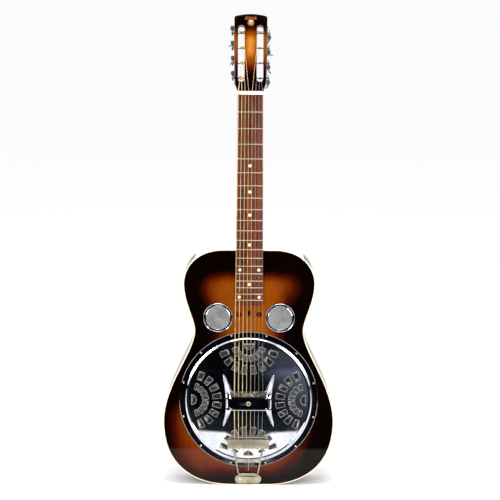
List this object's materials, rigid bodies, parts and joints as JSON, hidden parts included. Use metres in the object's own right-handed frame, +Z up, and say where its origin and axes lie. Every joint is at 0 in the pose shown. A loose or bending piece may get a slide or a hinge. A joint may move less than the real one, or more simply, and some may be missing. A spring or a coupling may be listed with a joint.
{
  "type": "resonator guitar",
  "caption": "Wood-bodied resonator guitar with a spider-bridge cone under a fan-pierced chromed coverplate, a slotted head and a hinged tailpiece.",
  "frame": {"origin": "on the tail end, in the middle of the body's width and depth", "axes": "+Z up the neck from the tail to the head, -Y out of the face of the top, +X to the treble side"},
  "size_m": [0.356, 0.1225, 0.9792],
  "materials": {
    "sunburst_wood": "gloss sunburst lacquer, amber to near black",
    "inner_wood": "bare",
    "binding": "aged cream",
    "chrome": "polished",
    "spun_aluminium": "spun, dull",
    "screen_mesh": "woven wire",
    "fingerboard_wood": "satin",
    "nut": "polished bone",
    "maple": "bare",
    "aged_nickel": "worn nickel plate",
    "tuner_metal": "worn nickel plate",
    "steel": "plain",
    "plain_string": "plain steel wire",
    "wound_string": "bronze wound"
  },
  "bodies": {
    "instrument": {"top_plate": "sunburst_wood", "back_plate": "sunburst_wood", "rib_bass": "sunburst_wood", "rib_treble": "sunburst_wood", "tail_strip": "sunburst_wood", "front_binding": "binding", "back_binding": "binding", "front_lining": "inner_wood", "back_lining": "inner_wood", "neck_block": "inner_wood", "tail_block": "inner_wood", "neck_stick": "inner_wood", "top_brace": "inner_wood", "back_brace": "inner_wood", "soundwell": "inner_wood", "resonator_cone": "spun_aluminium", "spider_bridge": "spun_aluminium", "saddle_bass": "maple", "saddle_treble": "maple", "tension_screw": "steel", "coverplate": "chrome", "hand_rest": "chrome", "screen_ring_bass": "chrome", "screen_mesh_bass": "screen_mesh", "screen_ring_treble": "chrome", "screen_mesh_treble": "screen_mesh", "neck": "sunburst_wood", "fingerboard": "fingerboard_wood", "nut": "nut", "tuner_strip_bass": "tuner_metal", "tuner_strip_treble": "tuner_metal", "string_1": "wound_string", "string_2": "wound_string", "string_3": "wound_string", "string_4": "wound_string", "string_5": "wound_string", "string_6": "plain_string", "string_7": "plain_string", "string_8": "plain_string", "tailpiece_bracket": "aged_nickel"},
    "key_1": {"tuning_key_1": "tuner_metal"},
    "spindle_1": {"roller_1": "tuner_metal"},
    "key_2": {"tuning_key_2": "tuner_metal"},
    "spindle_2": {"roller_2": "tuner_metal"},
    "key_3": {"tuning_key_3": "tuner_metal"},
    "spindle_3": {"roller_3": "tuner_metal"},
    "key_4": {"tuning_key_4": "tuner_metal"},
    "spindle_4": {"roller_4": "tuner_metal"},
    "key_5": {"tuning_key_5": "tuner_metal"},
    "spindle_5": {"roller_5": "tuner_metal"},
    "key_6": {"tuning_key_6": "tuner_metal"},
    "spindle_6": {"roller_6": "tuner_metal"},
    "key_7": {"tuning_key_7": "tuner_metal"},
    "spindle_7": {"roller_7": "tuner_metal"},
    "key_8": {"tuning_key_8": "tuner_metal"},
    "spindle_8": {"roller_8": "tuner_metal"},
    "tailpiece": {"tailpiece_frame": "aged_nickel", "tailpiece_plate": "aged_nickel"}
  },
  "joints": [
    {"name": "key_1_turn", "type": "hinge", "parent": "instrument", "child": "key_1", "pos_m": [-0.03631, -0.02638, 0.86018], "axis": [0, -0.9681, 0.2504], "continuous": true},
    {"name": "spindle_1_turn", "type": "hinge", "parent": "instrument", "child": "spindle_1", "pos_m": [-0.03154, -0.02871, 0.85116], "axis": [-0.9998, -0.0043, -0.0168], "continuous": true},
    {"name": "key_2_turn", "type": "hinge", "parent": "instrument", "child": "key_2", "pos_m": [-0.03684, -0.01862, 0.89019], "axis": [0, -0.9681, 0.2504], "continuous": true},
    {"name": "spindle_2_turn", "type": "hinge", "parent": "instrument", "child": "spindle_2", "pos_m": [-0.03208, -0.02095, 0.88117], "axis": [-0.9998, -0.0043, -0.0168], "continuous": true},
    {"name": "key_3_turn", "type": "hinge", "parent": "instrument", "child": "key_3", "pos_m": [-0.03738, -0.01086, 0.9202], "axis": [0, -0.9681, 0.2504], "continuous": true},
    {"name": "spindle_3_turn", "type": "hinge", "parent": "instrument", "child": "spindle_3", "pos_m": [-0.03262, -0.01319, 0.91118], "axis": [-0.9998, -0.0043, -0.0168], "continuous": true},
    {"name": "key_4_turn", "type": "hinge", "parent": "instrument", "child": "key_4", "pos_m": [-0.03792, -0.0031, 0.95021], "axis": [0, -0.9681, 0.2504], "continuous": true},
    {"name": "spindle_4_turn", "type": "hinge", "parent": "instrument", "child": "spindle_4", "pos_m": [-0.03316, -0.00543, 0.94119], "axis": [-0.9998, -0.0043, -0.0168], "continuous": true},
    {"name": "key_5_turn", "type": "hinge", "parent": "instrument", "child": "key_5", "pos_m": [0.03759, -0.0078, 0.93201], "axis": [0, -0.9681, 0.2504], "continuous": true},
    {"name": "spindle_5_turn", "type": "hinge", "parent": "instrument", "child": "spindle_5", "pos_m": [0.03316, -0.00543, 0.94119], "axis": [0.9998, -0.0043, -0.0168], "continuous": true},
    {"name": "key_6_turn", "type": "hinge", "parent": "instrument", "child": "key_6", "pos_m": [0.03706, -0.01556, 0.902], "axis": [0, -0.9681, 0.2504], "continuous": true},
    {"name": "spindle_6_turn", "type": "hinge", "parent": "instrument", "child": "spindle_6", "pos_m": [0.03262, -0.01319, 0.91118], "axis": [0.9998, -0.0043, -0.0168], "continuous": true},
    {"name": "key_7_turn", "type": "hinge", "parent": "instrument", "child": "key_7", "pos_m": [0.03652, -0.02332, 0.87199], "axis": [0, -0.9681, 0.2504], "continuous": true},
    {"name": "spindle_7_turn", "type": "hinge", "parent": "instrument", "child": "spindle_7", "pos_m": [0.03208, -0.02095, 0.88117], "axis": [0.9998, -0.0043, -0.0168], "continuous": true},
    {"name": "key_8_turn", "type": "hinge", "parent": "instrument", "child": "key_8", "pos_m": [0.03598, -0.03108, 0.84199], "axis": [0, -0.9681, 0.2504], "continuous": true},
    {"name": "spindle_8_turn", "type": "hinge", "parent": "instrument", "child": "spindle_8", "pos_m": [0.03154, -0.02871, 0.85116], "axis": [0.9998, -0.0043, -0.0168], "continuous": true},
    {"name": "tailpiece_hinge", "type": "hinge", "parent": "instrument", "child": "tailpiece", "pos_m": [0, -0.04575, 0.02378], "axis": [1, 0, 0], "range_deg": [-1, 1]}
  ],
  "couplings": [
    {"joint": "spindle_1_turn", "follows": "key_1_turn", "ratio": 0.071429},
    {"joint": "spindle_2_turn", "follows": "key_2_turn", "ratio": 0.071429},
    {"joint": "spindle_3_turn", "follows": "key_3_turn", "ratio": 0.071429},
    {"joint": "spindle_4_turn", "follows": "key_4_turn", "ratio": 0.071429},
    {"joint": "spindle_5_turn", "follows": "key_5_turn", "ratio": 0.071429},
    {"joint": "spindle_6_turn", "follows": "key_6_turn", "ratio": 0.071429},
    {"joint": "spindle_7_turn", "follows": "key_7_turn", "ratio": 0.071429},
    {"joint": "spindle_8_turn", "follows": "key_8_turn", "ratio": 0.071429}
  ]
}
